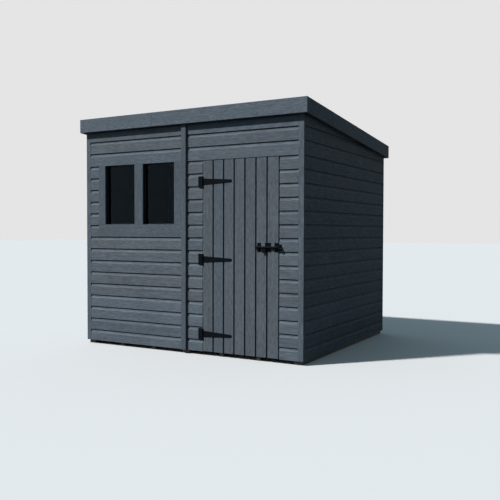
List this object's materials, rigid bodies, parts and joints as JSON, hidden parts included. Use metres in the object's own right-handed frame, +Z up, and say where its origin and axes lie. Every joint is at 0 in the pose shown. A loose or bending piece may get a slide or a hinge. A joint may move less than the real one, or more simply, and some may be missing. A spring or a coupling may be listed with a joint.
{
  "type": "pent shed",
  "caption": "Pent shed with grey composite boarding, a fixed two-pane window, a boarded door on tee hinges with a pad bolt, a floor on bearers and a roof that falls to the back.",
  "frame": {"origin": "on the ground, under the middle of the roof's outline", "axes": "+Z up, +X along the front wall to the right as seen from outside, so that the front with the door and window faces -Y"},
  "size_m": [2.492, 2.169, 2.24],
  "materials": {
    "boards": "slate grey wood-plastic composite boards with a fine brushed grain",
    "trim": "slate grey wood-plastic composite trims, fine brushed grain",
    "door": "slate grey wood-plastic composite door boards, upright brushed grain",
    "frame_timber": "planed softwood framing",
    "floor_timber": "planed softwood boards",
    "bearer_timber": "dark treated softwood",
    "seal": "matt black glazing seals and beads",
    "felt": "mineral roofing felt",
    "glass": "dark clear glazing",
    "hardware": "satin black powder coat on steel"
  },
  "bodies": {
    "shed": {"bearers": "bearer_timber", "floor_deck": "floor_timber", "side_sole_plates": "frame_timber", "cross_sole_plates": "frame_timber", "side_studs": "frame_timber", "rear_studs": "frame_timber", "front_studs": "frame_timber", "door_posts": "trim", "door_lintel": "trim", "window_rails": "frame_timber", "window_post": "frame_timber", "window_linings": "trim", "glazing_beads": "seal", "top_plates": "frame_timber", "rafters": "frame_timber", "roof_deck": "floor_timber", "roof_felt": "felt", "front_fascias": "trim", "side_fascias": "trim", "rear_fascia": "trim", "front_corner_trims": "trim", "rear_corner_trims": "trim", "front_joint_trim": "trim", "rear_joint_trim": "trim", "left_boards": "boards", "right_boards": "boards", "rear_boards": "boards", "front_lower_boards": "boards", "front_stub_boards": "boards", "front_upper_boards": "boards", "hinge_side_boards": "boards", "latch_side_boards": "boards", "over_door_boards": "boards", "window_sill": "trim", "window_casings": "trim", "window_head_board": "trim", "window_panes": "glass", "hinge_plates": "hardware", "bolt_keep": "hardware"},
    "door": {"door_boards": "door", "door_ledges": "frame_timber", "door_braces": "frame_timber", "hinge_straps": "hardware", "bolt_brackets": "hardware"},
    "bolt": {"bolt_bar": "hardware"}
  },
  "joints": [
    {"name": "door_hinge", "type": "hinge", "parent": "shed", "child": "door", "pos_m": [0.1945, -1.0485, 0.034], "axis": [0, 0, -1], "range_deg": [0, 165]},
    {"name": "bolt_slide", "type": "slide", "parent": "door", "child": "bolt", "axis": [1, 0, 0], "range_m": [0, 0.02]}
  ]
}
